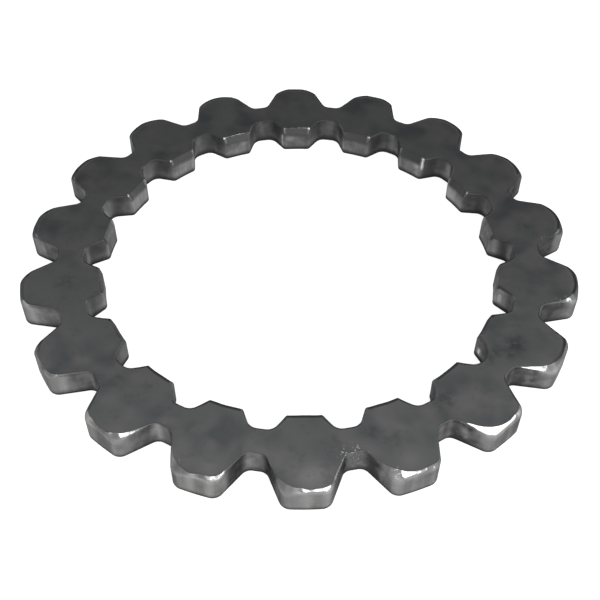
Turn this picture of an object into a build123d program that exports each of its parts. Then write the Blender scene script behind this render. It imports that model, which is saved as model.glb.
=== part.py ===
from build123d import *
from math import asin, cos, hypot, pi, radians, sin, tan
import os

# Toothed thrust washer: a flat ring punched from thick strip, with the same
# number of lobes outside as teeth inside, each lobe standing behind a tooth.
# The lower face rests on z = 0 and the axis of the ring is Z.
# All sizes are in millimetres and all angles in degrees.

# Ring
lobes = 18                    # lobes outside, and as many teeth inside
thickness = 4.8               # of the strip
outside_dia = 92.0            # over the lobe tips
band_width = 4.3              # solid band between lobe roots and tooth roots

# Outer lobes
lobe_height = 5.7             # root circle to tip
lobe_gap = 2.8                # between neighbouring flanks on the root circle
lobe_flank_angle = 20.3       # of one flank to the middle line of the lobe
lobe_corner_r = 2.3           # rounded corners of the tip
lobe_root_r = 1.5             # rounding between flank and root circle

# Inner teeth
tooth_height = 3.25           # root circle to tip
tooth_gap = 3.4               # between neighbouring flanks on the root circle
tooth_flank_angle = 36.0      # of one flank to the middle line of the tooth
tooth_corner_r = 0.45         # slight rounding of the tip corners
tooth_root_r = 1.7            # rounding between flank and root circle

# Upper edge, drawn down by the punch
crown_setback = 0.40          # the flat face stops this far short of a lobe tip
crown_slope = 42.0            # of the rolled surface to the flat face
tooth_roll_width = 0.50       # the flat face stops this far short of a tooth tip
tooth_roll_depth = 1.30       # height over which a tooth tip is drawn down

# Working allowances
cut_over = 1.0                # how far a cutter stands clear of what it cuts
crown_overlap = 0.02          # the round end crosses the flanks, so it isn't just tangent
rounding_room = 0.7           # largest rounding, as a share of the gap that it fits in
near = 0.01                   # a corner this close to a circle lies on it

# Circles that the outline is drawn on
outside_r = outside_dia / 2
lobe_root_circle = outside_r - lobe_height
tooth_root_circle = lobe_root_circle - band_width
tooth_tip_circle = tooth_root_circle - tooth_height

# Where the flanks leave the root circles, beside a lobe that points along X
half_pitch = pi / lobes
lobe_foot_angle = half_pitch - asin(lobe_gap / 2 / lobe_root_circle)
lobe_foot_x = lobe_root_circle * cos(lobe_foot_angle)
lobe_foot_y = lobe_root_circle * sin(lobe_foot_angle)
tooth_foot_angle = half_pitch - asin(tooth_gap / 2 / tooth_root_circle)
tooth_foot_x = tooth_root_circle * cos(tooth_foot_angle)
tooth_foot_y = tooth_root_circle * sin(tooth_foot_angle)
flank_sin = sin(radians(lobe_flank_angle))
flank_cos = cos(radians(lobe_flank_angle))
flank_tan = tan(radians(lobe_flank_angle))
tooth_tan = tan(radians(tooth_flank_angle))

# Round end of the flat face on a lobe: the circle that touches both flanks and
# stops short of the tip by the setback.
crown_tip = outside_r - crown_setback
crown_x = (crown_tip - lobe_foot_y * flank_cos - lobe_foot_x * flank_sin) / (1 - flank_sin)
crown_r = crown_tip - crown_x
touch_circle = hypot(crown_x + crown_r * flank_sin, crown_r * flank_cos)

# One of the lobes points to the front.
turns = PolarLocations(0, lobes, start_angle=-90)


def lobe_half_width(x):
    """Half the width of a lobe between its flanks, at distance x from the axis."""
    return lobe_foot_y - (x - lobe_foot_x) * flank_tan


def tooth_half_width(x):
    """Half the width of a tooth between its flanks, at distance x from the axis."""
    return tooth_foot_y - (tooth_foot_x - x) * tooth_tan


def wedge(inner_x, outer_x, half_width):
    """Flat-sided shape along X, as wide at each end as half_width says."""
    inner_y = half_width(inner_x)
    outer_y = half_width(outer_x)
    return Polygon((inner_x, -inner_y), (outer_x, -outer_y), (outer_x, outer_y), (inner_x, inner_y), align=None)


def corners_on(face, circle_r):
    """Corners of a face that lie on a circle about the axis."""
    return [v for v in face.vertices() if abs(hypot(v.X, v.Y) - circle_r) < near]


def lobed_disc():
    """Outer outline: a disc with flat-sided lobes, their feet and tips rounded."""
    lobe = wedge(lobe_root_circle - band_width / 2, outside_r + cut_over, lobe_half_width)
    disc = Circle(lobe_root_circle) + [turn * lobe for turn in turns]
    disc &= Circle(outside_r)
    disc = fillet(corners_on(disc, lobe_root_circle), min(lobe_root_r, lobe_gap * rounding_room))
    tip_width = 2 * lobe_half_width(outside_r)
    return fillet(corners_on(disc, outside_r), min(lobe_corner_r, tip_width * rounding_room))


def toothed_hole():
    """Outline of the hole: a disc that the teeth stand into, their feet and tips rounded."""
    tooth = wedge(tooth_tip_circle - cut_over, tooth_root_circle + band_width / 2, tooth_half_width)
    hole = Circle(tooth_root_circle) - [turn * tooth for turn in turns]
    hole += Circle(tooth_tip_circle)
    hole = fillet(corners_on(hole, tooth_root_circle), min(tooth_root_r, tooth_gap * rounding_room))
    tip_width = 2 * tooth_half_width(tooth_tip_circle)
    return fillet(corners_on(hole, tooth_tip_circle), min(tooth_corner_r, tip_width * rounding_room))


def crown_cutter():
    """Ring with a conical socket for each lobe: what it takes off leaves the rolled edge."""
    run = 1 / tan(radians(crown_slope))
    reach = hypot(outside_r - crown_x, lobe_half_width(outside_r)) - crown_r
    depth = reach / run
    height = depth + cut_over
    top_r = crown_r + crown_overlap - cut_over * run
    bottom_r = crown_r + crown_overlap + depth * run
    on_base = (Align.CENTER, Align.CENTER, Align.MIN)
    socket = Pos(crown_x, 0) * Cone(bottom_r, top_r, height, align=on_base)
    ring = Cylinder(outside_r + cut_over, height, align=on_base) - Cylinder(touch_circle, height, align=on_base)
    return Pos(0, 0, thickness - depth) * (ring - [turn * socket for turn in turns])


def tooth_cutter():
    """Cone about the axis: what it takes off leaves the drawn-down tips of the teeth."""
    height = tooth_roll_depth + cut_over
    top_r = tooth_tip_circle + tooth_roll_width * height / tooth_roll_depth
    cone = Cone(tooth_tip_circle, top_r, height, align=(Align.CENTER, Align.CENTER, Align.MIN))
    return Pos(0, 0, thickness - tooth_roll_depth) * cone


blank = extrude(lobed_disc(), thickness) - extrude(toothed_hole(), thickness)
washer = blank - crown_cutter() - tooth_cutter()

os.makedirs("parts", exist_ok=True)
export_step(washer, "parts/washer.step")
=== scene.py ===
import math

import bmesh
import bpy
import numpy as np
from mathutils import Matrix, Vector
from mathutils import noise


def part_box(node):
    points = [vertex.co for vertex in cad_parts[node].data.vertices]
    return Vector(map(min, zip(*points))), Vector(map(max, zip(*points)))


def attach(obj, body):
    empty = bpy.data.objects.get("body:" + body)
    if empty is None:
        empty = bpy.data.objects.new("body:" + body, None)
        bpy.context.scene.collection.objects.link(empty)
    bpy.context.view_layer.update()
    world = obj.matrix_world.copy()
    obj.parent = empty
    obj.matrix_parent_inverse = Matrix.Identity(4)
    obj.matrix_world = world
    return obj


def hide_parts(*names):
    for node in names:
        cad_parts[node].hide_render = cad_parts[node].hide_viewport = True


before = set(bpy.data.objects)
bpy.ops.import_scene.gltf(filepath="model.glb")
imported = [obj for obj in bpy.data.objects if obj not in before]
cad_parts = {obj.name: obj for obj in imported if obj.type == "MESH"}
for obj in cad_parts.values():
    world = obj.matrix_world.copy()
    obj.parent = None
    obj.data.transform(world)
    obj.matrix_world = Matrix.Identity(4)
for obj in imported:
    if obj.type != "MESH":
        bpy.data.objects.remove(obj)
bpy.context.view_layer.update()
LOW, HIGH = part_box("washer")

bl_info = {
    "name": "Toothed Washer",
    "version": (1, 0, 0),
    "blender": (4, 5, 0),
    "location": "3D View > Sidebar > Washer",
    "description": "Models a punched steel washer with lobes around its rim and teeth inside its hole",
    "category": "Object",
}

MM = 0.001
UP = (0.0, 0.0, 1.0)
AXIS = (0.0, 0.0, 0.0)

# Steps along each stretch of half a lobe's outline, from the middle of the gap
# to the middle of the tip. Both outlines have as many steps in all, so that
# they can be bridged.
LOBE_STEPS = {"root": 2, "foot": 6, "flank": 9, "corner": 9, "tip": 10}
TOOTH_STEPS = {"root": 3, "foot": 8, "flank": 8, "corner": 5, "tip": 12}

# Rings of points across the section, counted from the foot of the rim.
WALL_RINGS = 10
ROLL_RINGS = 6
FACE_CUTS = 20
EDGE_RINGS = 2
UNDER_CUTS = 6
RIM_TOP = WALL_RINGS
RIM_CROWN = RIM_TOP + ROLL_RINGS
HOLE_CROWN = RIM_CROWN + FACE_CUTS + 1
HOLE_TOP = HOLE_CROWN + ROLL_RINGS
HOLE_FOOT = HOLE_TOP + WALL_RINGS
HOLE_UNDER = HOLE_FOOT + EDGE_RINGS
RIM_UNDER = HOLE_UNDER + UNDER_CUTS + 1
RING_COUNT = RIM_UNDER + EDGE_RINGS

# The same rings as stretches from below to the flat face, and how far up its stretch each ring is.
RIM_WALL = slice(0, RIM_TOP + 1)
RIM_ROLL = slice(RIM_TOP, RIM_CROWN + 1)
HOLE_WALL = slice(HOLE_FOOT, HOLE_TOP - 1, -1)
HOLE_ROLL = slice(HOLE_TOP, HOLE_CROWN - 1, -1)
UP_WALL = np.arange(WALL_RINGS + 1)[:, None] / WALL_RINGS
UP_ROLL = np.arange(ROLL_RINGS + 1)[:, None] / ROLL_RINGS

# Lobes whose flat face is off centre: lobe counted from the front, then sideways and outwards in
# millimetres, and how much narrower the roll is on that side.
CROWN_SHIFT = {
    0: (0.15, -0.03, 0.35),
    1: (0.35, -0.15, 0.55),
    2: (0.44, -0.13, 0.32),
    3: (0.45, 0.0, 0.35),
    4: (0.10, 0.0, 0.20),
    7: (0.0, 0.10, 0.0),
    8: (-0.05, 0.32, 0.0),
    9: (0.0, 0.22, 0.0),
    10: (0.0, 0.10, 0.0),
    12: (0.0, 0.15, 0.0),
    13: (0.10, 0.20, 0.0),
    14: (0.25, 0.33, 0.0),
    15: (0.18, 0.34, 0.0),
    16: (-0.28, 0.08, 0.0),
    17: (0.10, 0.0, 0.20),
}

# Lobes on which the border of the flat face is nearly even: share of the raggedness that is left.
EVEN_CROWNS = {2: 0.25, 3: 0.35}

# Lobes with a painted highlight on the rolled edge: between which headings in degrees, then how much.
HIGHLIGHTS = {
    0: (-100.0, -54.0, 1.0),
    1: (-102.0, -60.0, 1.0),
    2: (-124.0, -35.0, 1.0),
    3: (-120.0, -73.0, 1.0),
    4: (-85.0, -50.0, 0.45),
    14: (-150.0, -92.0, 0.54),
    15: (-108.0, -46.0, 0.42),
    16: (-92.0, -40.0, 0.62),
    17: (-92.0, -38.0, 0.52),
}
# Painted highlight on the creased tips of the other lobes, and how far down the rolled edge a painted
# highlight reaches.
HIGHLIGHT_ELSEWHERE = 0.40
HIGHLIGHT_DEPTH = 0.68       # share of the rolled edge that a bright stretch covers in its middle
DEPTH_ELSEWHERE = 0.30

# Teeth with a painted highlight line along their upper edge, and how bright it is.
HIGHLIGHT_TEETH = {6: 0.40, 7: 0.42, 9: 0.50, 10: 0.55}

# Painted glints on corners of teeth: heading from the axis and reach in degrees, from which height
# to which in millimetres, and how bright. Past 1 the glint goes from grey to white.
GLINT_CORNERS = (
    (94.6, 0.3, 0.6, 3.4, 1.0),
    (85.7, 0.3, 4.6, 6.0, 1.8),
    (65.6, 0.3, 4.6, 6.0, 1.8),
    (45.6, 0.3, 2.4, 6.0, 1.6),
    (25.6, 0.3, 4.6, 6.0, 1.7),
    (114.4, 0.3, 4.6, 6.0, 1.7),
    (134.4, 0.3, 4.6, 6.0, 1.7),
    (154.4, 0.3, 4.6, 6.0, 2.0),
    (-35.2, 0.4, 1.0, 2.6, 1.6),
    (-15.1, 0.4, 1.4, 3.4, 0.8),
)

# Painted sheen on the walls of the hole: heading and reach in degrees, then how strong.
WALL_SHEEN = (
    (-15.2, 1.4, 1.0),
    (5.2, 0.9, 0.75),
    (20.5, 1.2, 0.45),
    (39.6, 1.3, 0.45),
    (59.6, 1.4, 0.55),
    (79.6, 1.7, 0.40),
    (100.6, 1.6, 0.20),
    (121.0, 1.6, 0.60),
    (141.0, 1.8, 0.70),
    (160.0, 1.8, 0.60),
)

# Places on the face: x, y and reach in millimetres, then how strong. Specks of painted glint first,
# then patches of painted sheen and dark smudges.
GLINT_SPOTS = (
    (5.4, -39.9, 0.9, 1.0),
    (7.3, -39.6, 1.0, 1.0),
    (-8.8, -43.0, 0.8, 0.8),
    (-18.4, -40.8, 0.6, 1.0),
    (12.5, -42.8, 0.5, 1.0),
    (17.6, -42.4, 0.5, 1.0),
    (41.4, -11.2, 0.4, 1.0),
    (43.1, -10.8, 0.6, 1.0),
    (41.4, 2.8, 0.4, 1.0),
)
# The painted sheen is strongest by the tips of the front lobes.
SHEEN_PATCHES = (
    (0.8, -43.4, 2.4, 0.85),
    (-1.8, -42.2, 1.8, 0.5),
    (14.6, -41.0, 1.6, 0.4),
    (-13.6, -41.5, 1.6, 0.35),
    (-14.0, 38.4, 4.5, 0.16),
    (14.5, 39.0, 4.0, 0.07),
)
SMUDGES = (
    (20.6, -30.9, 1.5, 0.55),
    (21.6, -29.6, 0.9, 0.40),
    (9.5, -36.3, 1.1, 0.40),
    (12.4, -38.1, 0.9, 0.35),
    (32.6, -20.7, 1.4, 0.80),
    (31.6, -22.4, 0.9, 0.60),
    (33.4, -19.4, 0.9, 0.60),
    (29.3, -22.0, 1.3, 0.50),
    (28.4, -23.4, 1.1, 0.45),
    (-16.2, -35.0, 1.2, 0.30),
    (-27.6, -26.4, 1.4, 0.35),
    (-38.0, -6.5, 1.6, 0.40),
    (38.6, 6.0, 1.5, 0.35),
    (39.5, -6.5, 4.0, 0.10),
    (27.0, -31.5, 4.0, 0.10),
    (-35.0, 20.0, 4.5, 0.14),
    (-40.0, 7.0, 4.5, 0.14),
)

# By chance the other faces stray this far off centre, in millimetres sideways and outwards.
CROWN_WANDER = (0.07, 0.03)

# The round border of a face ends this far round from the middle line of its lobe, over this much turn.
CROWN_END = math.radians(92.0)
CROWN_FADE = math.radians(26.0)

# Parts of the washer, in millimetres from its axis, over which a mark comes in from none to all of it.
BACK_CROWNS = (-26.0, -8.0)
LEFT_HALF = (8.0, 28.0)
FAR_LEFT = (36.0, 42.0)
BEHIND_FRONT = (-36.0, -28.0)
BACK_HALF = (-8.0, 2.0)
DIM_BACK = (-24.0, 0.0)

# Headings in degrees between which the rolled edge is darkened by painted shade.
DIM_SIDES = (-150.0, -32.0)
DIM_FRONT = (-106.0, -32.0)

# Painted shade, a dark outline, on the last row of a rolled edge, then on the first rows of the flat face.
CROWN_SHADE = (1.0, 1.0, 0.95, 0.15)

TIP_SLOPE = math.radians(60.0)
CLOSER_ROWS = 0.12        # how much closer the rows of the flat face are near its borders
FACE_HOLLOW = 0.02 * MM   # how deep the faint hollows of the flat face are
DENT_SLANT = 0.7          # a dent goes this share of its depth inwards, and as much down
SMOOTH_BELOW = math.radians(32.0)
GRAIN_DEPTH = 0.02 * MM   # of the grain in the skin and the streaks in the walls

ROOM_DIMS = (0.46, 0.70)  # where the room starts to dim and where it is dimmest, across its depth
FLOOR_GREY = 0.8          # of the floor as it lights the washer
SENSOR_WIDTH = 36.0
NEAREST_SEEN = 0.005


def number_property(name, default, description, **options):
    return bpy.props.FloatProperty(name=name, description=description, default=default, **options)


def length_property(name, default, description):
    return number_property(name, default, description, unit="LENGTH", precision=5)


def angle_property(name, degrees, description):
    return number_property(name, math.radians(degrees), description, subtype="ANGLE")


def vector_property(name, default, description, subtype, **limits):
    return bpy.props.FloatVectorProperty(
        name=name, description=description, default=default, size=3, subtype=subtype, **limits)


def place_property(name, default, description):
    return vector_property(name, default, description, "TRANSLATION")


def colour_property(name, default, description):
    return vector_property(name, default, description, "COLOR", min=0.0, max=1.0)


class WasherShape(bpy.types.PropertyGroup):
    lobes: bpy.props.IntProperty(
        name="Lobes", description="Lobes around the rim, with as many teeth in the hole", default=18, min=6)
    outside: length_property("Outside radius", HIGH.y, "From the axis to the tip of a lobe")
    thickness: length_property("Thickness", HIGH.z, "Thickness of the strip")
    band: length_property("Band", 4.3 * MM, "Solid band between the lobe roots and the tooth roots")
    lobe_height: length_property("Lobe height", 5.7 * MM, "From the lobes' root circle to their tips")
    lobe_gap: length_property("Lobe gap", 2.8 * MM, "Between neighbouring flanks of the lobes")
    lobe_flank: angle_property("Lobe flank", 20.3, "Angle of a flank to the middle line of the lobe")
    lobe_corner: length_property("Lobe corner", 1.8 * MM, "Radius of the rounded corners of a lobe")
    lobe_foot: length_property("Lobe foot", 1.5 * MM, "Radius between a flank and the lobes' root circle")
    tooth_height: length_property("Tooth height", 3.25 * MM, "From the teeth's root circle to their tips")
    tooth_gap: length_property("Tooth gap", 3.4 * MM, "Between neighbouring flanks of the teeth")
    tooth_flank: angle_property("Tooth flank", 36.0, "Angle of a flank to the middle line of the tooth")
    tooth_corner: length_property("Tooth corner", 0.90 * MM, "Radius of the slightly rounded tooth corners")
    tooth_foot: length_property("Tooth foot", 1.7 * MM, "Radius between a flank and the teeth's root circle")


class WasherEdges(bpy.types.PropertyGroup):
    crown_setback: length_property("Crown setback", 0.40 * MM, "From the tip of a lobe to the flat face")
    flank_roll: length_property("Flank roll", 0.32 * MM, "Width of the rolled edge along the flanks")
    flank_drop: length_property("Flank drop", 0.48 * MM, "Height of the rolled edge along the flanks")
    root_share: number_property("Root roll", 0.4, "Share of the roll that the roots keep", min=0.0, max=1.0)
    roll_start: angle_property("Roll start", 40.0, "Slope of the rolled edge where it leaves the flat face")
    roll_end: angle_property("Roll end", 78.0, "Slope of the rolled edge where it meets the wall")
    tooth_roll: length_property("Tooth roll", 0.58 * MM, "From the tip of a tooth to the flat face")
    tooth_flank: length_property("Tooth flank roll", 0.30 * MM, "Width of the roll along a tooth's flanks")
    tooth_drop: length_property("Tooth drop", 1.30 * MM, "Height of the drawn-down tip of a tooth")
    lower_edge: length_property("Lower edge", 0.26 * MM, "Radius of the lower edge")
    ragged: length_property("Ragged edge", 0.16 * MM, "How far the border of the rolled edge wanders")
    dented: length_property("Dented edge", 0.02 * MM, "How deep the dents in the rolled edge are")
    torn: length_property("Torn wall", 0.04 * MM, "How rough the torn lower part of the punched wall is")
    seed: bpy.props.IntProperty(name="Seed", description="Start of the random draws", default=7)


class SteelFinish(bpy.types.PropertyGroup):
    face: colour_property("Face", (0.103, 0.105, 0.105), "Dark skin of the rolled strip")
    face_cool: colour_property("Cool oil", (0.078, 0.084, 0.087), "Cool patches of the oil film")
    face_warm: colour_property("Warm oil", (0.128, 0.125, 0.125), "Warm patches of the oil film")
    # Colour of the patches of painted sheen on the face.
    sheen: colour_property("Sheen", (0.178, 0.172, 0.172), "Painted sheen patches")
    smudge: colour_property("Smudge", (0.045, 0.046, 0.047), "Dark smudges")
    wall: colour_property("Wall", (0.190, 0.190, 0.189), "Grey steel of the punched wall")
    # Colour of the walls where painted shade darkens them, most in the roots.
    wall_shade: colour_property("Wall shade", (0.058, 0.058, 0.058), "Punched wall in painted shade")
    wall_bright: colour_property("Wall streak", (0.320, 0.319, 0.316), "Clean streaks of the punched wall")
    # Colours of painted glints and highlights, then of painted shade.
    speck_glint: colour_property("Speck", (0.46, 0.455, 0.45), "Painted glint of the specks on the face")
    glint: colour_property("Glint", (0.80, 0.80, 0.79), "Painted glint of the brightest corners")
    painted_light: colour_property("Rubbed edge", (0.24, 0.24, 0.238), "Painted highlight on the rolled edge")
    dim_edge: colour_property("Dimmed edge", (0.045, 0.045, 0.045), "Rolled edge in painted shade")
    edge_shade: colour_property("Painted edge shade", (0.016, 0.016, 0.016), "Painted shade along the edges")


class StageSettings(bpy.types.PropertyGroup):
    floor_size: length_property("Floor", 3.0, "Side of the floor")
    floor_white: number_property("Floor white", 0.80, "Brightness of the floor as the camera sees it")
    floor_shade: number_property("Floor shade", 0.30, "Share of the floor's look that takes shadows")
    key_place: place_property("Key light", (0.020, -0.385, 0.232), "Place of the softbox in front")
    side_place: place_property("Side light", (0.360, -0.210, 0.178), "Place of the softbox on the right")
    key_width: length_property("Key width", 0.46, "Width of the softbox in front")
    side_width: length_property("Side width", 0.56, "Width of the softbox on the right")
    box_height: length_property("Box height", 0.18, "Height of a softbox")
    box_power: number_property("Box power", 3.26, "Watts of a softbox for each metre of its width")
    room_near: number_property("Room light", 1.35, "Brightness of the room around and above the washer")
    room_far: number_property("Far room light", 0.36, "Brightness of the far side of the room")
    camera_place: place_property("Camera place", (-3.177 * MM, -113.527 * MM, 118.42 * MM),
                                 "Where the camera stands")
    camera_turn: vector_property("Camera turn", [math.radians(turn) for turn in (42.094, -0.451, -1.161)],
                                 "How the camera is turned", "EULER")
    camera_lens: number_property("Lens", 57.517, "Focal length in millimetres on a 36 mm sensor")


def deselect_all():
    if bpy.context.mode != "OBJECT":
        bpy.ops.object.mode_set(mode="OBJECT")
    bpy.ops.object.select_all(action="DESELECT")


def edit(piece):
    deselect_all()
    piece.select_set(True)
    bpy.context.view_layer.objects.active = piece
    bpy.ops.object.mode_set(mode="EDIT")
    bpy.ops.mesh.select_mode(type="VERT")


def on_circle(radius, angle):
    return Vector((radius * math.cos(angle), radius * math.sin(angle)))


def angle_of(point):
    return math.atan2(point.y, point.x)


def rounding(normal, run, offset, circle, past_line, past_circle):
    """Centre of a rounding that touches a straight flank and a circle about the axis."""
    across = offset + past_line
    along = math.sqrt((circle + past_circle) ** 2 - across ** 2)
    return normal * across + run * along


class Pen:
    """Draws an outline edge by edge, always from its last point."""

    def __init__(self, name, start, height):
        deselect_all()
        bpy.ops.mesh.primitive_plane_add(size=MM, location=(start.x, start.y, height))
        self.piece = bpy.context.object
        self.piece.name = name
        self.at = start
        edit(self.piece)
        bpy.ops.mesh.select_all(action="SELECT")
        bpy.ops.mesh.merge(type="CENTER")

    def arc(self, centre, end, steps):
        """Spins the last point about a centre until it reaches the end."""
        turn = (self.at - centre).angle_signed(end - centre)
        bpy.ops.mesh.spin(steps=steps, angle=turn, center=(centre.x, centre.y, 0.0), axis=UP)
        self.at = end

    def line(self, end, steps):
        """Extrudes the last point along a straight line in even steps."""
        step = (end - self.at) / steps
        for _ in range(steps):
            bpy.ops.mesh.extrude_region_move(TRANSFORM_OT_translate={"value": (step.x, step.y, 0.0)})
        self.at = end


def lobe_roots(shape):
    return shape.outside - shape.lobe_height


def tooth_roots(shape):
    return lobe_roots(shape) - shape.band


def tooth_tips(shape):
    return tooth_roots(shape) - shape.tooth_height


def flank_start(shape, root_circle, gap):
    """Where a flank leaves the root circle, beside a lobe or tooth that points along X."""
    return on_circle(root_circle, math.pi / shape.lobes - math.asin(gap / 2 / root_circle))


def half_outline(pen, steps, start, flank, root_circle, tip_circle, foot, corner, outwards):
    """Half a lobe (outwards 1) or tooth (-1) along X, from the middle of a gap to the middle of its tip."""
    normal = Vector((outwards * math.sin(flank), math.cos(flank)))
    run = Vector((math.cos(flank), -outwards * math.sin(flank)))
    offset = normal.dot(start)
    foot_centre = rounding(normal, run, offset, root_circle, foot, foot * outwards)
    corner_centre = rounding(normal, run, offset, tip_circle, -corner, -corner * outwards)
    origin = Vector((0.0, 0.0))
    pen.arc(origin, on_circle(root_circle, angle_of(foot_centre)), steps["root"])
    pen.arc(foot_centre, foot_centre - normal * foot, steps["foot"])
    pen.line(corner_centre + normal * corner, steps["flank"])
    pen.arc(corner_centre, on_circle(tip_circle, angle_of(corner_centre)), steps["corner"])
    pen.arc(origin, on_circle(tip_circle, 0.0), steps["tip"])


def close_outline(pen, lobes):
    """Mirrors the half outline, then turns copies of it about the axis, with one lobe to the front."""
    bpy.ops.object.mode_set(mode="OBJECT")
    bpy.ops.object.transform_apply(location=True, rotation=False, scale=False)
    edit(pen.piece)
    bpy.ops.mesh.select_all(action="SELECT")
    bpy.ops.mesh.duplicate()
    bpy.ops.transform.resize(value=(1.0, -1.0, 1.0), center_override=AXIS)
    bpy.ops.mesh.select_all(action="SELECT")
    bpy.ops.mesh.spin(steps=lobes, dupli=True, angle=math.tau, center=AXIS, axis=UP)
    bpy.ops.mesh.select_all(action="SELECT")
    bpy.ops.transform.rotate(value=math.pi / 2, orient_axis="Z", center_override=AXIS)
    bpy.ops.mesh.remove_doubles(threshold=0.01 * MM)
    bpy.ops.object.mode_set(mode="OBJECT")
    return pen.piece


def rim_outline(shape, height):
    """Outline of the rim, with its rounded lobes."""
    roots = lobe_roots(shape)
    pen = Pen("rim_outline", on_circle(roots, math.pi / shape.lobes), height)
    half_outline(pen, LOBE_STEPS, flank_start(shape, roots, shape.lobe_gap), shape.lobe_flank,
                 roots, shape.outside, shape.lobe_foot, shape.lobe_corner, 1.0)
    return close_outline(pen, shape.lobes)


def hole_outline(shape, height):
    """Outline of the hole, with its flat-tipped teeth."""
    roots = tooth_roots(shape)
    pen = Pen("hole_outline", on_circle(roots, math.pi / shape.lobes), height)
    half_outline(pen, TOOTH_STEPS, flank_start(shape, roots, shape.tooth_gap), shape.tooth_flank,
                 roots, tooth_tips(shape), shape.tooth_foot, shape.tooth_corner, -1.0)
    return close_outline(pen, shape.lobes)


def add_attribute(piece, name, values):
    layer = piece.data.attributes.new(name, "FLOAT", "POINT")
    layer.data.foreach_set("value", values.astype(np.float32))


def read_numbers(piece, name):
    values = np.empty(len(piece.data.vertices), np.float32)
    piece.data.attributes[name].data.foreach_get("value", values)
    return np.rint(values).astype(int)


def number_ring(piece, ring):
    """Numbers the points of an outline around the axis, and gives them the ring's own number."""
    places = np.array([v.co for v in piece.data.vertices])
    order = np.argsort(np.arctan2(places[:, 1], places[:, 0]))
    around = np.empty(len(order))
    around[order] = np.arange(len(order))
    add_attribute(piece, "around", around)
    add_attribute(piece, "across", np.full(len(order), ring))


def select_rings(piece, *rings):
    """Selects the edges that lie in these rings."""
    bpy.ops.mesh.select_mode(type="EDGE")
    bpy.ops.mesh.select_all(action="DESELECT")
    mesh = bmesh.from_edit_mesh(piece.data)
    across = mesh.verts.layers.float["across"]
    for e in mesh.edges:
        numbers = {round(v[across]) for v in e.verts}
        e.select = len(numbers) == 1 and numbers.pop() in rings
    mesh.select_flush_mode()
    bmesh.update_edit_mesh(piece.data)


def extrude_rings(piece, start, count, direction, rise):
    """Extrudes a ring of edges up or down, step by step, and numbers each new ring."""
    select_rings(piece, start)
    for step in range(1, count + 1):
        bpy.ops.mesh.extrude_region_move(TRANSFORM_OT_translate={"value": (0.0, 0.0, rise / count)})
        mesh = bmesh.from_edit_mesh(piece.data)
        across = mesh.verts.layers.float["across"]
        for v in mesh.verts:
            if v.select:
                v[across] = (start + direction * step) % RING_COUNT
        bmesh.update_edit_mesh(piece.data)


def bridge_rings(piece, first, second, cuts):
    """Bridges two rings with rows of faces between them."""
    select_rings(piece, first, second)
    bpy.ops.mesh.bridge_edge_loops(type="PAIRS", number_cuts=cuts, interpolation="LINEAR", smoothness=0.0)


def punch_blank(shape, edges):
    """The ring as one closed shell of even rows and columns, before its edges are worked."""
    rim = rim_outline(shape, edges.lower_edge)
    hole = hole_outline(shape, edges.lower_edge)
    number_ring(rim, 0)
    number_ring(hole, HOLE_FOOT)
    deselect_all()
    hole.select_set(True)
    rim.select_set(True)
    bpy.context.view_layer.objects.active = rim
    bpy.ops.object.join()
    blank = rim
    blank.name = "toothed_washer"
    wall = shape.thickness - edges.lower_edge
    edit(blank)
    extrude_rings(blank, 0, WALL_RINGS + ROLL_RINGS, 1, wall)
    extrude_rings(blank, HOLE_FOOT, WALL_RINGS + ROLL_RINGS, -1, wall)
    extrude_rings(blank, 0, EDGE_RINGS, -1, -edges.lower_edge)
    extrude_rings(blank, HOLE_FOOT, EDGE_RINGS, 1, -edges.lower_edge)
    bridge_rings(blank, RIM_CROWN, HOLE_CROWN, FACE_CUTS)
    bridge_rings(blank, HOLE_UNDER, RIM_UNDER, UNDER_CUTS)
    bpy.ops.mesh.select_all(action="SELECT")
    bpy.ops.mesh.normals_make_consistent(inside=False)
    bpy.ops.object.mode_set(mode="OBJECT")
    return blank


class Grid:
    """The points of the blank by ring and column."""

    def __init__(self, piece):
        self.piece = piece
        count = len(piece.data.vertices)
        self.column = read_numbers(piece, "around")
        self.ring = read_numbers(piece, "across")
        self.columns = self.column.max() + 1
        if count != RING_COUNT * self.columns or len(set(zip(self.ring, self.column))) != count:
            raise RuntimeError("the outlines of the rim and the hole don't pair up")
        places = np.empty(count * 3)
        piece.data.vertices.foreach_get("co", places)
        self.places = np.empty((RING_COUNT, self.columns, 3))
        self.places[self.ring, self.column] = places.reshape(-1, 3)

    def place(self, rings, outline, height):
        self.places[rings, :, :2] = outline
        self.places[rings, :, 2] = height

    def write(self):
        self.piece.data.vertices.foreach_set("co", self.places[self.ring, self.column].ravel())
        self.piece.data.update()

    def unmarked(self):
        return np.zeros((RING_COUNT, self.columns))

    def store(self, name, values):
        add_attribute(self.piece, name, values[self.ring, self.column])


def ripple(rng, rows, columns, row_reach, column_reach):
    """Smooth random waves on a grid that closes around its columns, from about -1 to 1."""
    waves = np.fft.fft2(rng.standard_normal((rows, columns)))
    row_pitch = np.fft.fftfreq(rows)[:, None] * row_reach
    column_pitch = np.fft.fftfreq(columns)[None, :] * column_reach
    waves *= np.exp(-2.0 * (row_pitch ** 2 + column_pitch ** 2) * math.pi ** 2)
    waves = np.fft.ifft2(waves).real
    return waves / (waves.std() * 2.0)


def smooth(values, low, high):
    share = np.clip((values - low) / (high - low), 0.0, 1.0)
    return share * share * (3.0 - 2.0 * share)


def ring_normals(outline):
    """Unit normals of a closed outline, away from the axis."""
    along = np.roll(outline, -1, axis=0) - np.roll(outline, 1, axis=0)
    along /= np.linalg.norm(along, axis=1)[:, None]
    normals = np.stack([along[:, 1], -along[:, 0]], axis=1)
    side = np.sign(np.sum(normals * outline, axis=1).mean())
    return normals * side


def lobe_of(points, lobes):
    """Which lobe each point belongs to, counted from the one at the front, and that lobe's turn."""
    angle = np.arctan2(points[:, 1], points[:, 0]) + math.pi / 2
    lobe = np.rint(angle / math.tau * lobes).astype(int)
    return lobe % lobes, lobe * math.tau / lobes - math.pi / 2


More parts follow.
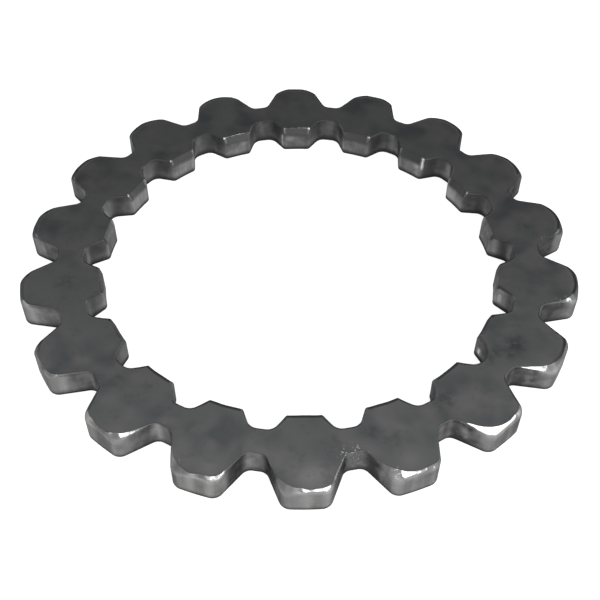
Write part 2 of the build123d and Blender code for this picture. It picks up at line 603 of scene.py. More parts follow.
def crown_shifts(shape, rng):
    """How far off centre the flat face of each lobe is, and how much narrower its roll is on that side."""
    shift = np.clip(rng.standard_normal((shape.lobes, 2)), -1.5, 1.5) * CROWN_WANDER * MM
    narrow = np.zeros(shape.lobes)
    for number, (sideways, outwards, narrower) in CROWN_SHIFT.items():
        shift[number] = (sideways * MM, outwards * MM)
        narrow[number] = narrower
    return shift, narrow


def left_in_roots(depth, start, edges):
    """Share of the rolled edge that is left at a depth between tips (0) and roots (1)."""
    return 1.0 - (1.0 - edges.root_share) * smooth(depth, start, 0.95)


def crown_line(outline, normals, shape, edges, rng):
    """Border of the flat face on the rim: round on each lobe, and close to the edge elsewhere."""
    foot = flank_start(shape, lobe_roots(shape), shape.lobe_gap)
    sine = math.sin(shape.lobe_flank)
    cosine = math.cos(shape.lobe_flank)
    tip = shape.outside - edges.crown_setback
    centre_x = (tip - foot.y * cosine - foot.x * sine) / (1.0 - sine)
    crown_r = tip - centre_x
    lobe, turn = lobe_of(outline, shape.lobes)
    axis = np.stack([np.cos(turn), np.sin(turn)], axis=1)
    side = np.stack([-axis[:, 1], axis[:, 0]], axis=1)
    shift, narrow = crown_shifts(shape, rng)
    centre = axis * (centre_x + shift[lobe, 1])[:, None] + side * shift[lobe, 0][:, None]
    spoke = outline - centre
    reach = np.linalg.norm(spoke, axis=1)
    lean = np.arccos(np.clip(np.sum(spoke * axis, axis=1) / reach, -1.0, 1.0))
    sideways = np.sum(spoke * side, axis=1) / crown_r
    beyond = np.clip(reach - crown_r, 0.0, None) * np.clip((CROWN_END - lean) / CROWN_FADE, 0.0, 1.0)
    crease = np.clip(beyond / edges.crown_setback * 1.6 - 0.2, 0.0, 1.0)
    beyond *= 1.0 - narrow[lobe] * smooth(sideways, 0.1, 0.8)
    share = np.clip(beyond / edges.flank_roll, 0.0, 1.0)[:, None]
    inwards = -normals * (1.0 - share) - spoke / reach[:, None] * share
    inwards /= np.linalg.norm(inwards, axis=1)[:, None]
    radius = np.linalg.norm(outline, axis=1)
    root = left_in_roots((shape.outside - radius) / shape.lobe_height, 0.40, edges)
    width = np.maximum(beyond, edges.flank_roll * root)
    waves = ripple(rng, 1, len(outline), 1.0, 9.0)[0] * 0.7
    nicks = ripple(rng, 1, len(outline), 1.0, 2.0)[0] * 0.9
    ragged = crease * edges.ragged * (1.0 - 0.75 * smooth(outline[:, 1] / MM, *BACK_CROWNS))
    for number, share_left in EVEN_CROWNS.items():
        ragged[lobe == number] *= share_left
    headings = np.degrees(np.arctan2(-inwards[:, 1], -inwards[:, 0]))
    return outline + inwards * (width + (waves + nicks) * ragged)[:, None], width, crease, root, headings


def tooth_line(outline, normals, shape, edges, rng):
    """Border of the flat face on the hole: set back on the tooth tips, close to the edge elsewhere."""
    flat_circle = tooth_tips(shape) + edges.tooth_roll
    radius = np.linalg.norm(outline, axis=1)
    share = np.clip((flat_circle - radius) / edges.tooth_roll, 0.0, 1.0)
    wander = ripple(rng, 1, len(outline), 1.0, 5.0)[0] * edges.ragged * 0.4
    root = left_in_roots((radius - tooth_tips(shape)) / shape.tooth_height, 0.35, edges)
    line = outline + normals * (edges.tooth_flank * (1.0 - 0.8 * share) * root)[:, None]
    radius = np.linalg.norm(line, axis=1)
    line = line * (np.maximum(radius, flat_circle + wander) / radius)[:, None]
    drop = edges.flank_drop * root * (1.0 - share) + edges.tooth_drop * share
    return line, drop, share


def roll_profile(drop, crease, slopes):
    """How far out and how far down each row of a rolled edge is, from the wall to the flat face."""
    sharp_down = np.concatenate([[0.0], np.cumsum(np.sin(slopes))])[::-1, None]
    sharp_out = np.concatenate([[0.0], np.cumsum(np.cos(slopes))])[::-1, None]
    turn = np.linspace(math.pi / 2, 0.0, ROLL_RINGS + 1)[:, None]
    out = crease * sharp_out / sharp_out[0] + (1.0 - crease) * np.sin(turn)
    down = crease * sharp_down / sharp_down[0] + (1.0 - crease) * (1.0 - np.cos(turn))
    return out[:, :, None], drop * down


def work_edges(grid, shape, edges):
    """Draws the upper edges down, rounds the lower ones, and roughens the punched walls."""
    rng = np.random.default_rng(edges.seed)
    top = shape.thickness
    foot = edges.lower_edge
    rim = grid.places[0, :, :2].copy()
    hole = grid.places[HOLE_FOOT, :, :2].copy()
    rim_out = ring_normals(rim)
    hole_out = ring_normals(hole)
    crown, width, crease, root, headings = crown_line(rim, rim_out, shape, edges, rng)
    flat, hole_drop, tips = tooth_line(hole, hole_out, shape, edges, rng)
    steepen = np.linspace(0.0, 1.0, ROLL_RINGS) ** 2.0
    slopes = edges.roll_start + (edges.roll_end - edges.roll_start) * steepen
    chord = np.sum(np.sin(slopes)) / np.sum(np.cos(slopes))
    rim_drop = crease * width * chord + (1.0 - crease) * edges.flank_drop * root

    # Punched walls
    grid.place(RIM_WALL, rim, foot + (top - rim_drop - foot) * UP_WALL)
    grid.place(HOLE_WALL, hole, foot + (top - hole_drop - foot) * UP_WALL)

    # Rolled edges: creased on the lobe tips and flat on the tooth tips, softly rounded elsewhere
    out, down = roll_profile(rim_drop, crease, slopes)
    grid.place(RIM_ROLL, crown + (rim - crown) * out, top - down)
    out, down = roll_profile(hole_drop, tips, np.full(ROLL_RINGS, TIP_SLOPE))
    grid.place(HOLE_ROLL, flat + (hole - flat) * out, top - down)

    # Flat face and underside
    share = np.linspace(0.0, 1.0, FACE_CUTS + 2)[:, None, None]
    share = share - CLOSER_ROWS * np.sin(math.tau * share)
    grid.place(slice(RIM_CROWN, HOLE_CROWN + 1), crown + (flat - crown) * share, top)
    share = np.linspace(0.0, 1.0, UNDER_CUTS + 2)[:, None, None]
    under_rim = rim - rim_out * foot
    under_hole = hole + hole_out * foot
    grid.place(slice(HOLE_UNDER, RIM_UNDER + 1), under_hole + (under_rim - under_hole) * share, 0.0)

    # Lower edges
    for step in range(1, EDGE_RINGS):
        turn = math.pi / 2 * step / EDGE_RINGS
        inset = foot * (1.0 - math.cos(turn))
        height = foot * (1.0 - math.sin(turn))
        grid.place(HOLE_FOOT + step, hole + hole_out * inset, height)
        grid.place(RING_COUNT - step, rim - rim_out * inset, height)
    roughen(grid, edges, rim_out, hole_out, rng)
    np.clip(grid.places, LOW, HIGH, out=grid.places)
    return crease, headings, tips, rim_out, hole_out


def roughen(grid, edges, rim_out, hole_out, rng):
    """Seeded dents and streaks: they only take metal away, so the washer keeps its size."""
    places = grid.places
    columns = grid.columns
    for wall, into_steel in ((RIM_WALL, -rim_out), (HOLE_WALL, hole_out)):
        streaks = ripple(rng, WALL_RINGS + 1, columns, 14.0, 2.2)
        patches = ripple(rng, WALL_RINGS + 1, columns, 3.0, 6.0)
        lower = np.clip(1.25 - UP_WALL * 1.6, 0.15, 1.0)
        depth = np.clip(0.5 + 0.35 * streaks + 0.35 * patches * lower, 0.0, 1.0) * edges.torn
        places[wall, :, :2] += into_steel * depth[:, :, None]
    rim_roll = slice(RIM_TOP + 1, RIM_CROWN)
    hole_roll = slice(HOLE_CROWN + 1, HOLE_TOP)
    for roll, into_steel in ((rim_roll, -rim_out), (hole_roll, hole_out)):
        dents = np.clip(0.5 + 0.5 * ripple(rng, ROLL_RINGS - 1, columns, 2.0, 3.0), 0.0, 1.0)
        dents *= edges.dented * DENT_SLANT
        places[roll, :, :2] += into_steel * dents[:, :, None]
        places[roll, :, 2] -= dents
    for row in range(RIM_CROWN + 1, HOLE_CROWN):
        for column in range(columns):
            spot = Vector(places[row, column]) / MM
            hollow = 0.5 + 0.5 * noise.noise(spot * 0.22) + 0.2 * noise.noise(spot * 0.9)
            places[row, column, 2] -= max(hollow, 0.0) * FACE_HOLLOW


def between(values, low, high, blur):
    return smooth(values, low - blur, low + blur) * (1.0 - smooth(values, high - blur, high + blur))


def way_around(outline):
    """How far along a closed outline each of its points is."""
    steps = np.linalg.norm(np.roll(outline, -1, axis=0) - outline, axis=1)
    return np.concatenate([[0.0], np.cumsum(steps)[:-1]])


class Columns:
    """What the marks on the steel follow: where each column of the grid is, and how its walls face."""

    def __init__(self, grid, shape, worked):
        self.crease, self.headings, self.tips, self.rim_out, self.hole_out = worked
        self.rim = grid.places[0, :, :2]
        self.hole = grid.places[HOLE_FOOT, :, :2]
        self.lobe, _ = lobe_of(self.rim, shape.lobes)
        self.tooth, _ = lobe_of(self.hole, shape.lobes)
        rim_radius = np.linalg.norm(self.rim, axis=1)
        hole_radius = np.linalg.norm(self.hole, axis=1)
        rim_square = np.sum(self.rim_out * self.rim, axis=1) / rim_radius
        hole_square = np.sum(self.hole_out * self.hole, axis=1) / hole_radius
        rim_tip = smooth((shape.outside - rim_radius) / shape.lobe_height, 0.55, 0.06)
        hole_tip = smooth((hole_radius - tooth_tips(shape)) / shape.tooth_height, 0.5, 0.04)
        # Painted light: the walls are lighter on the tips and where they face straight out.
        self.rim_lit = np.maximum(rim_tip, 0.5 * smooth(rim_square, 0.75, 1.0))
        self.hole_lit = np.maximum(hole_tip, 0.4 * smooth(hole_square, 0.7, 1.0))
        self.left = smooth(-self.rim[:, 0] / MM, *LEFT_HALF)
        self.back = smooth(self.rim[:, 1] / MM, *BACK_HALF)
        # Walls that face away from the light, and get painted dark outlines.
        faces_right = smooth(self.rim_out[:, 0], 0.72, 0.92) * smooth(self.rim[:, 1] / MM, *BEHIND_FRONT)
        faces_left = smooth(-self.rim_out[:, 0], 0.82, 0.96) * smooth(-self.rim[:, 0] / MM, *FAR_LEFT) * 0.7
        faces_back = smooth(self.rim_out[:, 1], -0.05, 0.4)
        self.rim_dark = np.maximum(np.maximum(faces_back, faces_right), faces_left)
        self.hole_back = smooth(-self.hole_out[:, 1], 0.2, 0.7)
        self.hole_front = smooth(self.hole_out[:, 1], 0.1, 0.6)
        self.hole_side = 1.0 - smooth(self.hole_out[:, 1], 0.45, 0.95)
        # Tooth corners that face the front, and get a painted glint.
        self.corner = self.tips * smooth(hole_square, 0.99, 0.93) * smooth(self.hole_out[:, 1], 0.72, 0.9)

    def near_heading(self, heading, reach):
        turned = np.degrees(np.arctan2(self.hole[:, 1], self.hole[:, 0]))
        return np.exp(-((turned - heading) / reach) ** 2)


def painted_highlight_and_shade(columns):
    """How much painted highlight each row of the rim's rolled edge gets, from the wall up, and how much
    painted shade darkens the edge.
    """
    bright = columns.crease * HIGHLIGHT_ELSEWHERE
    depth = np.full(len(bright), DEPTH_ELSEWHERE)
    for number, (low, high, amount) in HIGHLIGHTS.items():
        here = columns.lobe == number
        bright[here] = (columns.crease * between(columns.headings, low, high, 2.0) * amount)[here]
        reach = (columns.headings - (low + high) / 2.0) / ((high - low) / 2.0)
        depth[here] = HIGHLIGHT_DEPTH * np.sqrt(np.clip(1.0 - reach ** 2, 0.0, 1.0))[here]
    # Painted shade on the rolled edges that face the softboxes, and on those at the back.
    dim_rolls = (0.75 - 0.2 * columns.crease) * between(columns.headings, *DIM_SIDES, 10.0)
    dim_rolls = np.maximum(dim_rolls, 0.75 * columns.crease * between(columns.headings, *DIM_FRONT, 8.0))
    dim_rolls = np.maximum(dim_rolls, 0.85 * smooth(columns.rim[:, 1] / MM, *DIM_BACK))
    return bright * smooth(UP_ROLL, 0.9 - depth, 1.1 - depth) * (1.0 - columns.rim_dark), dim_rolls


def mark_wall_light(grid, columns):
    """Painted light and shade on the walls: lighter on the tips, darker in the roots. Skin comes over the
    upper part of soft rolls.
    """
    wall_light = grid.unmarked()
    skin = grid.unmarked()
    # Rim walls: lighter on the tips, where they face straight out and on the left half; darker in the roots.
    wall_light[:RIM_CROWN + 1] = np.minimum(0.12 + 0.88 * columns.rim_lit + 0.35 * columns.left, 1.0)
    # Hole walls: lighter where seen side-on, on the tips and on the left half; darker where they face the
    # front.
    painted_light = 0.04 + 0.50 * columns.hole_side + 0.56 * columns.hole_lit + 0.40 * columns.left
    hole_dimmer = 1.0 - 0.40 * (1.0 - columns.hole_side)
    wall_light[HOLE_WALL] = painted_light * (1.0 - 0.35 * UP_WALL) * hole_dimmer
    wall_light[HOLE_ROLL] = wall_light[HOLE_TOP] * (1.0 - 0.6 * UP_ROLL)
    skin[RIM_ROLL] = (1.0 - columns.crease) * smooth(UP_ROLL, 0.5, 1.0)
    skin[HOLE_ROLL] = (1.0 - columns.tips) * smooth(UP_ROLL, 0.5, 1.0) + 0.4 * columns.tips
    for heading, reach, amount in WALL_SHEEN:
        wall_light[HOLE_WALL] = np.maximum(wall_light[HOLE_WALL], columns.near_heading(heading, reach) * amount)
    grid.store("wall_light", wall_light)
    grid.store("skin", skin)


def mark_highlights(grid, columns):
    """Painted highlights and glints on edges and corners."""
    highlight = grid.unmarked()
    highlight[RIM_ROLL], _ = painted_highlight_and_shade(columns)
    # Painted highlight along the crown of the left lobes.
    faint = 0.5 * columns.crease * columns.left * (1.0 - columns.rim_dark)
    highlight[RIM_CROWN] = np.maximum(highlight[RIM_CROWN], faint)
    # Painted highlight line along the upper edge of the tooth tips that face the front.
    line = np.full(grid.columns, 0.22)
    for number, amount in HIGHLIGHT_TEETH.items():
        line[columns.tooth == number] = amount
    highlight[HOLE_CROWN] = np.maximum(line * columns.tips * columns.hole_front, columns.corner)
    highlight[HOLE_CROWN + 1] = columns.corner
    highlight[HOLE_CROWN - 1] = columns.corner * 0.6
    corners = slice(HOLE_CROWN - 1, HOLE_FOOT + 1)
    height = grid.places[corners, :, 2] / MM
    for heading, reach, low, high, amount in GLINT_CORNERS:
        near = columns.near_heading(heading, reach) * amount
        highlight[corners] = np.maximum(highlight[corners], near * between(height, low, high, 0.4))
    grid.store("highlight", highlight)


def mark_dimmed(grid, columns):
    """Painted shade on the rolled edges outside the painted highlights, and on the walls of the hole that
    face the front.
    """
    shine, dim_rolls = painted_highlight_and_shade(columns)
    crease = columns.crease
    tips = columns.tips
    dimmed = grid.unmarked()
    # How far up the rolled edge the painted shade reaches.
    film = smooth(UP_ROLL, 0.1 * crease, 0.3 + 0.3 * crease)
    dimmed[RIM_ROLL] = dim_rolls * (1.0 - shine) * film
    dimmed[HOLE_ROLL] = columns.hole_front * (1.0 - columns.corner)
    dim_share = tips * smooth(UP_WALL, 0.80, 1.0) + (1.0 - tips) * (0.45 + 0.45 * UP_WALL)
    dimmed[HOLE_WALL] = columns.hole_front * dim_share * (0.85 - 0.35 * columns.hole_side)
    for heading, reach, amount in WALL_SHEEN:
        dimmed[HOLE_WALL] *= 1.0 - 0.5 * amount * columns.near_heading(heading, reach)
    grid.store("dimmed", dimmed)


def mark_edge_shade(grid, columns):
    """Painted shade: a dark line all along the lower edges, and dark outlines on upper edges and walls that
    face away from the light.
    """
    edge_shade = grid.unmarked()
    # Painted shade on the back walls that face right.
    shaded = columns.back * smooth(columns.rim_out[:, 0], 0.0, 0.6) * 0.6
    soft = smooth(1.0 - UP_ROLL, 0.2, 0.6)
    # Painted dark outlines on rolled edges that face away from the light.
    film = columns.rim_dark * (0.45 + 0.55 * smooth(UP_ROLL, 0.7, 1.0))
    edge_shade[RIM_ROLL] = np.maximum(film * np.maximum(columns.crease, soft), shaded)
    # Painted shade on the soft rolls of the hole walls that face the front.
    dim_share = columns.hole_front * (1.0 - columns.tips) * 0.55 * UP_ROLL
    edge_shade[HOLE_ROLL] = np.maximum(columns.hole_back * np.maximum(columns.tips, soft), dim_share)
    for step, amount in enumerate(CROWN_SHADE):
        edge_shade[RIM_CROWN + step] = columns.rim_dark * amount
        edge_shade[HOLE_CROWN - step] = columns.hole_back * amount
    # Painted shade: a dark line along the lower edges, where the washer meets the floor.
    edge_shade[HOLE_FOOT:HOLE_UNDER + 1] = 1.0
    edge_shade[RIM_UNDER:] = 1.0
    # Painted shade on walls seen side-on.
    rim_side = between(columns.rim_out[:, 1], -0.16, 0.2, 0.12) * (0.5 - 0.4 * columns.left)
    rim_side = np.maximum(rim_side, shaded)
    hole_side = between(-columns.hole_out[:, 1], -0.08, 0.2, 0.10) * 0.2 * (1.0 - columns.left)
    edge_shade[RIM_WALL] = np.maximum(rim_side, np.clip(1.0 - 3.5 * UP_WALL, 0.0, 1.0))
    edge_shade[HOLE_WALL] = np.maximum(hole_side, np.clip(1.25 - 4.0 * UP_WALL, 0.0, 1.0))
    grid.store("edge_shade", edge_shade)


def mark_steel(grid, shape, worked):
    """Stores what the finish follows: the way around, where light, highlights and shade are painted, and
    where the steel is marked.
    """
    columns = Columns(grid, shape, worked)
    along = grid.unmarked() + way_around(columns.rim)
    along[(RIM_CROWN + HOLE_CROWN) // 2:HOLE_UNDER + 1] = way_around(columns.hole)
    grid.store("along", along)
    for mark in (mark_wall_light, mark_highlights, mark_dimmed, mark_edge_shade):
        mark(grid, columns)
    for name, patches in (("glint_specked", GLINT_SPOTS), ("sheen", SHEEN_PATCHES), ("smudged", SMUDGES)):
        marked = grid.unmarked()
        for x, y, reach, amount in patches:
            away = np.hypot(grid.places[:, :, 0] - x * MM, grid.places[:, :, 1] - y * MM) / (reach * MM)
            marked = np.maximum(marked, np.exp(-away ** 2) * amount)
        grid.store(name, marked)


def sort_faces(grid):
    """The two flat faces keep the dark skin of the strip. The rest is punched steel."""
    mesh = grid.piece.data
    rings = np.empty(len(mesh.loops), int)
    mesh.loops.foreach_get("vertex_index", rings)
    rings = grid.ring[rings].reshape(-1, 4)
    low = rings.min(axis=1)
    high = rings.max(axis=1)
    face = (low >= RIM_CROWN) & (high <= HOLE_CROWN)
    under = (low >= HOLE_UNDER) & (high <= RIM_UNDER)
    index = np.ones(len(rings), int)
    index[face | under] = 0
    mesh.polygons.foreach_set("material_index", index)


def rgba(colour):
    return (colour[0], colour[1], colour[2], 1.0)


def grey(brightness):
    return rgba((brightness, brightness, brightness))


# How bright the steel is at a glancing view
EDGE_TINT = grey(0.25)


class Nodes:
    """Builds a node tree in which each new node names what feeds it."""

    def __init__(self, tree):
        self.tree = tree

    def wire(self, socket, value):
        if isinstance(value, bpy.types.NodeSocket):
            self.tree.links.new(value, socket)
        else:
            socket.default_value = value

    def node(self, kind, inputs=None, **settings):
        made = self.tree.nodes.new(kind)
        for key, value in settings.items():
            setattr(made, key, value)
        for key, value in (inputs or {}).items():
            self.wire(made.inputs[key], value)
        return made

    def noise(self, place, scale, detail=2.0, roughness=0.5):
        """Uneven patches, about as many to the metre as the scale says."""
        made = self.node("ShaderNodeTexNoise", {"Vector": place, "Scale": scale, "Detail": detail,
                                                "Roughness": roughness})
        return made.outputs["Fac"]

    def spread(self, value, low, high, to_low=0.0, to_high=1.0):
        made = self.node("ShaderNodeMapRange", {"Value": value, "From Min": low, "From Max": high,
                                                "To Min": to_low, "To Max": to_high}, clamp=True)
        return made.outputs["Result"]

    def mix(self, share, first, second):
        made = self.node("ShaderNodeMix", data_type="RGBA")
        self.wire(made.inputs[0], share)
        self.wire(made.inputs[6], first)
        self.wire(made.inputs[7], second)
        return made.outputs[2]

    def math(self, operation, first, second):
        return self.node("ShaderNodeMath", {0: first, 1: second}, operation=operation).outputs[0]

    def place(self):
        return self.node("ShaderNodeTexCoord").outputs["Object"]

    def attribute(self, name):
        return self.node("ShaderNodeAttribute", attribute_name=name).outputs["Fac"]

    def group(self, group, inputs):
        made = self.node("ShaderNodeGroup", node_tree=group)
        for key, value in inputs.items():
            self.wire(made.inputs[key], value)
        return made.outputs

    def bump(self, height, strength, distance):
        made = self.node("ShaderNodeBump", {"Strength": strength, "Distance": distance, "Height": height})
        return made.outputs["Normal"]


class Steel(Nodes):
    """A material with one Principled BSDF, which is dull at a glancing view."""

    def __init__(self, name):
        self.material = bpy.data.materials.new(name)
        self.material.use_nodes = True
        super().__init__(self.material.node_tree)
        self.surface = self.tree.nodes["Principled BSDF"]
        self.feed({"Specular IOR Level": 0.0, "Specular Tint": EDGE_TINT})

    def feed(self, inputs):
        for key, value in inputs.items():
            self.wire(self.surface.inputs[key], value)


class Effect(Nodes):
    """A node group that several materials use. It takes colours, and gives a colour and some numbers."""

    def __init__(self, name, colours, numbers):
        self.made = bpy.data.node_groups.new(name, "ShaderNodeTree")
        super().__init__(self.made)
        self.sockets("INPUT", "NodeSocketColor", colours)
        self.sockets("OUTPUT", "NodeSocketColor", ("Colour",))
        self.sockets("OUTPUT", "NodeSocketFloat", numbers)
        self.given = self.node("NodeGroupInput").outputs
        self.out = self.node("NodeGroupOutput").inputs

    def sockets(self, way, kind, names):
        for name in names:
            self.made.interface.new_socket(name=name, in_out=way, socket_type=kind)

    def give(self, **results):
        for key, value in results.items():
            self.wire(self.out[key], value)
        return self.made


def oil_film():
    """Dark skin of the strip with cool, warm and smudged patches of oil, and lighter patches of painted
    sheen.
    """
    film = Effect("oil_film", ("Skin", "Cool", "Warm", "Sheen", "Smudge"), ("Patches", "Spots"))
    place = film.place()
    broad = film.noise(place, 130.0, 2.0, 0.5)
    tint = film.noise(place, 210.0, 1.0, 0.4)
    spots = film.noise(place, 520.0, 3.0, 0.6)
    colour = film.mix(film.spread(tint, 0.38, 0.62), film.given["Cool"], film.given["Warm"])
    colour = film.mix(film.spread(broad, 0.38, 0.62), colour, film.given["Skin"])
    colour = film.mix(film.attribute("sheen"), colour, film.given["Sheen"])
    smears = film.spread(film.noise(place, 1000.0, 3.0, 0.6), 0.38, 0.62, 0.35, 1.5)
    smears = film.math("MULTIPLY", smears, film.attribute("smudged"))
    smudged = film.math("ADD", film.spread(spots, 0.55, 0.80, 0.0, 0.35), smears)
    smudged = film.math("MINIMUM", smudged, 1.0)
    colour = film.mix(smudged, colour, film.given["Smudge"])
    return film.give(Colour=colour, Patches=broad, Spots=spots)


def edge_marks():
    """Painted highlights and glint specks on the edges, and painted shade along them."""
    marks = Effect("edge_marks", ("Steel", "Bright", "Painted shade"), ("Rubbed", "Clean"))
    broken = marks.noise(marks.place(), 1400.0, 2.0, 0.5)
    level = marks.math("ADD", marks.attribute("highlight"), marks.math("SUBTRACT", broken, 0.5))
    highlight = marks.spread(level, 0.40, 0.64)
    # Specks of painted glint where the table of glint spots says.
    glint_specks = marks.spread(marks.noise(marks.place(), 2600.0, 1.0, 0.5), 0.60, 0.68)
    highlight = marks.math("MAXIMUM", highlight, marks.math("MULTIPLY", glint_specks, marks.attribute("glint_specked")))
    # Unshaded: steel that no painted shade covers. Only it stays metal; it leaves the group as Clean.
    unshaded = marks.math("SUBTRACT", 1.0, marks.attribute("edge_shade"))
    unshaded = marks.math("MAXIMUM", marks.math("MULTIPLY", highlight, 0.6), unshaded)
    colour = marks.mix(highlight, marks.given["Steel"], marks.given["Bright"])
    colour = marks.mix(unshaded, marks.given["Painted shade"], colour)
    return marks.give(Colour=colour, Rubbed=highlight, Clean=unshaded)


def film_colours(finish):
    return {"Skin": rgba(finish.face), "Cool": rgba(finish.face_cool), "Warm": rgba(finish.face_warm),
            "Sheen": rgba(finish.sheen), "Smudge": rgba(finish.smudge)}


def face_steel(finish, film, marks):
    """Dark skin of the strip under an uneven film of oil, with painted sheen, painted glints and painted
    shade along the edges.
    """
    skin = Steel("dark_face_steel")
    oil = skin.group(film, film_colours(finish))
    edge = skin.group(marks, {
        "Steel": oil["Colour"], "Bright": rgba(finish.speck_glint), "Painted shade": rgba(finish.edge_shade)})
    rough = skin.math("ADD", skin.spread(oil["Patches"], 0.3, 0.7, 0.28, 0.36),
                      skin.spread(oil["Spots"], 0.4, 0.7, 0.0, 0.05))
    grain = skin.noise(skin.place(), 3200.0, 2.0, 0.6)
    skin.feed({"Base Color": edge["Colour"], "Metallic": edge["Clean"], "Roughness": rough,
               "Normal": skin.bump(grain, 0.2, GRAIN_DEPTH)})
    return skin.material


def punched_steel(finish, film, marks):
    """Punched wall and rolled edge: grey steel with upright streaks, with painted light and shade, painted
    highlights and glints, and painted shade where the edges face the softboxes.
    """
    wall = Steel("punched_steel")
    height = wall.node("ShaderNodeSeparateXYZ", {"Vector": wall.place()}).outputs["Z"]
    place = wall.node("ShaderNodeCombineXYZ", {"X": wall.attribute("along"), "Y": height}).outputs[0]
    upright = wall.node("ShaderNodeMapping", {"Vector": place, "Scale": (1.0, 0.16, 1.0)}).outputs[0]
    streaks = wall.noise(upright, 1100.0, 3.0, 0.55)
    bands = wall.noise(upright, 360.0, 1.0, 0.4)
    patches = wall.noise(place, 480.0, 3.0, 0.55)
    uneven = wall.spread(patches, 0.3, 0.7, -0.28, 0.28)
    wall_light = wall.math("ADD", wall.attribute("wall_light"), uneven)
    wall_light = wall.math("MAXIMUM", wall.math("MINIMUM", wall_light, 1.0), 0.0)
    # Painted light and shade: lighter walls on the tips, darker in the roots.
    colour = wall.mix(wall_light, rgba(finish.wall_shade), rgba(finish.wall))
    bright = wall.math("MULTIPLY", wall.spread(bands, 0.46, 0.70, 0.0, 0.9), wall_light)
    colour = wall.mix(bright, colour, rgba(finish.wall_bright))
    fine = wall.math("MULTIPLY", wall.spread(streaks, 0.52, 0.8, 0.0, 0.5), wall_light)
    colour = wall.mix(fine, colour, rgba(finish.wall_bright))
    oil = wall.group(film, film_colours(finish))
    colour = wall.mix(wall.attribute("skin"), colour, oil["Colour"])
    # Painted shade on edges and walls that face the softboxes.
    dimmed = wall.attribute("dimmed")
    colour = wall.mix(dimmed, colour, rgba(finish.dim_edge))
    # Painted highlights; past 1 they turn to painted white glints.
    glint = wall.spread(wall.attribute("highlight"), 1.1, 1.8)
    bright = wall.mix(glint, rgba(finish.painted_light), rgba(finish.glint))
    edge = wall.group(marks, {"Steel": colour, "Bright": bright, "Painted shade": rgba(finish.edge_shade)})
    rough = wall.spread(wall_light, 0.0, 1.0, 0.52, 0.38)
    rough = wall.spread(dimmed, 0.0, 1.0, rough, 0.62)
    rough = wall.spread(edge["Rubbed"], 0.0, 1.0, rough, 0.14)
    wall.feed({"Base Color": edge["Colour"], "Metallic": edge["Clean"], "Roughness": rough,
               "Normal": wall.bump(streaks, 0.3, GRAIN_DEPTH)})
    return wall.material


class WASHER_OT_washer(bpy.types.Operator):
    """Model the washer as one punched ring and give it its steel"""
    bl_idname = "washer.washer"
    bl_label = "Washer"

    def execute(self, context):
        scene = context.scene
        shape = scene.washer_shape
        edges = scene.washer_edges
        finish = scene.washer_finish
        washer = punch_blank(shape, edges)
        grid = Grid(washer)
        worked = work_edges(grid, shape, edges)
        grid.write()
        mark_steel(grid, shape, worked)
        film = oil_film()
        marks = edge_marks()
        washer.data.materials.append(face_steel(finish, film, marks))
        washer.data.materials.append(punched_steel(finish, film, marks))
        sort_faces(grid)
        deselect_all()
        washer.select_set(True)
        context.view_layer.objects.active = washer
        bpy.ops.object.shade_smooth_by_angle(angle=SMOOTH_BELOW)
        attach(washer, "root")
        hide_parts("washer")
        return {"FINISHED"}


def floor_paint(stage):
    """Plain white floor: the camera and the steel see it white, and it keeps a soft shadow."""
    material = bpy.data.materials.new("white_floor")
    material.use_nodes = True
    material.node_tree.nodes.clear()
    paint = Nodes(material.node_tree)
    path = paint.node("ShaderNodeLightPath").outputs
    seen = paint.math("MAXIMUM", path["Is Camera Ray"], path["Is Glossy Ray"])
    seen = paint.math("MAXIMUM", seen, path["Is Transmission Ray"])
    lit = paint.node("ShaderNodeBsdfDiffuse", {"Color": grey(FLOOR_GREY)})
    shade = paint.node("ShaderNodeBsdfDiffuse", {"Color": grey(stage.floor_shade)})
    glow = paint.node("ShaderNodeEmission", {"Strength": stage.floor_white})
    white = paint.node("ShaderNodeAddShader", {0: shade.outputs[0], 1: glow.outputs[0]})
    look = paint.node("ShaderNodeMixShader", {0: seen, 1: lit.outputs[0], 2: white.outputs[0]})
    paint.node("ShaderNodeOutputMaterial", {"Surface": look.outputs[0]})
    return material


def room_light(scene, stage):
    """Plain light of a white room whose far side is dark."""
    world = bpy.data.worlds.new("room")
    scene.world = world
    world.use_nodes = True
    room = Nodes(world.node_tree)
    place = room.node("ShaderNodeTexCoord").outputs["Generated"]
    depth = room.node("ShaderNodeSeparateXYZ", {"Vector": place}).outputs["Y"]
    low, high = ROOM_DIMS
    light = room.node("ShaderNodeMapRange", {
        "Value": depth, "From Min": low, "From Max": high,
        "To Min": stage.room_near, "To Max": stage.room_far}, interpolation_type="SMOOTHSTEP")
    background = room.tree.nodes["Background"].inputs
    room.wire(background["Color"], grey(1.0))
    room.wire(background["Strength"], light.outputs["Result"])


def aim(thing, target):
    direction = Vector(target) - thing.location
    thing.rotation_euler = direction.to_track_quat("-Z", "Y").to_euler()


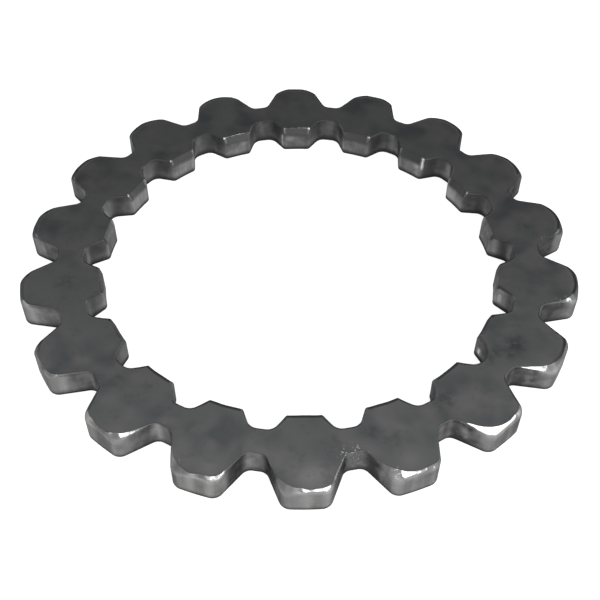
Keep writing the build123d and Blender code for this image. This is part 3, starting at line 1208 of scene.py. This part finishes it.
class WASHER_OT_stage(bpy.types.Operator):
    """Set up the floor, the light and the camera"""
    bl_idname = "washer.stage"
    bl_label = "Stage"

    def execute(self, context):
        scene = context.scene
        stage = scene.washer_stage
        deselect_all()
        bpy.ops.mesh.primitive_plane_add(size=stage.floor_size, location=AXIS)
        floor = context.object
        floor.name = "floor"
        floor.data.materials.append(floor_paint(stage))
        for name, place, width in (("front_softbox", stage.key_place, stage.key_width),
                                   ("side_softbox", stage.side_place, stage.side_width)):
            bpy.ops.object.light_add(type="AREA", location=place)
            box = context.object
            box.name = name
            box.data.shape = "RECTANGLE"
            box.data.size = width
            box.data.size_y = stage.box_height
            box.data.energy = stage.box_power * width
            aim(box, AXIS)
        room_light(scene, stage)
        bpy.ops.object.camera_add(location=stage.camera_place, rotation=stage.camera_turn)
        camera = context.object
        camera.name = "photo_view"
        camera.data.sensor_width = SENSOR_WIDTH
        camera.data.lens = stage.camera_lens
        camera.data.clip_start = NEAREST_SEEN
        scene.camera = camera
        scene.view_settings.view_transform = "Standard"
        return {"FINISHED"}


class WASHER_PT_panel(bpy.types.Panel):
    """Lists the steps that build the washer"""
    bl_idname = "WASHER_PT_panel"
    bl_label = "Toothed Washer"
    bl_space_type = "VIEW_3D"
    bl_region_type = "UI"
    bl_category = "Washer"

    def draw(self, context):
        layout = self.layout
        layout.operator(WASHER_OT_washer.bl_idname)
        layout.operator(WASHER_OT_stage.bl_idname)
        for name, group in SETTINGS:
            box = layout.box()
            for key in group.__annotations__:
                box.prop(getattr(context.scene, name), key)


SETTINGS = (
    ("washer_shape", WasherShape),
    ("washer_edges", WasherEdges),
    ("washer_finish", SteelFinish),
    ("washer_stage", StageSettings),
)
STEPS = (WASHER_OT_washer, WASHER_OT_stage, WASHER_PT_panel)


def register():
    for name, group in SETTINGS:
        bpy.utils.register_class(group)
        setattr(bpy.types.Scene, name, bpy.props.PointerProperty(type=group))
    for step in STEPS:
        bpy.utils.register_class(step)


def unregister():
    for step in reversed(STEPS):
        bpy.utils.unregister_class(step)
    for name, group in reversed(SETTINGS):
        delattr(bpy.types.Scene, name)
        bpy.utils.unregister_class(group)


def main():
    register()
    bpy.ops.washer.washer()
    bpy.ops.washer.stage()


if __name__ == "__main__":
    main()
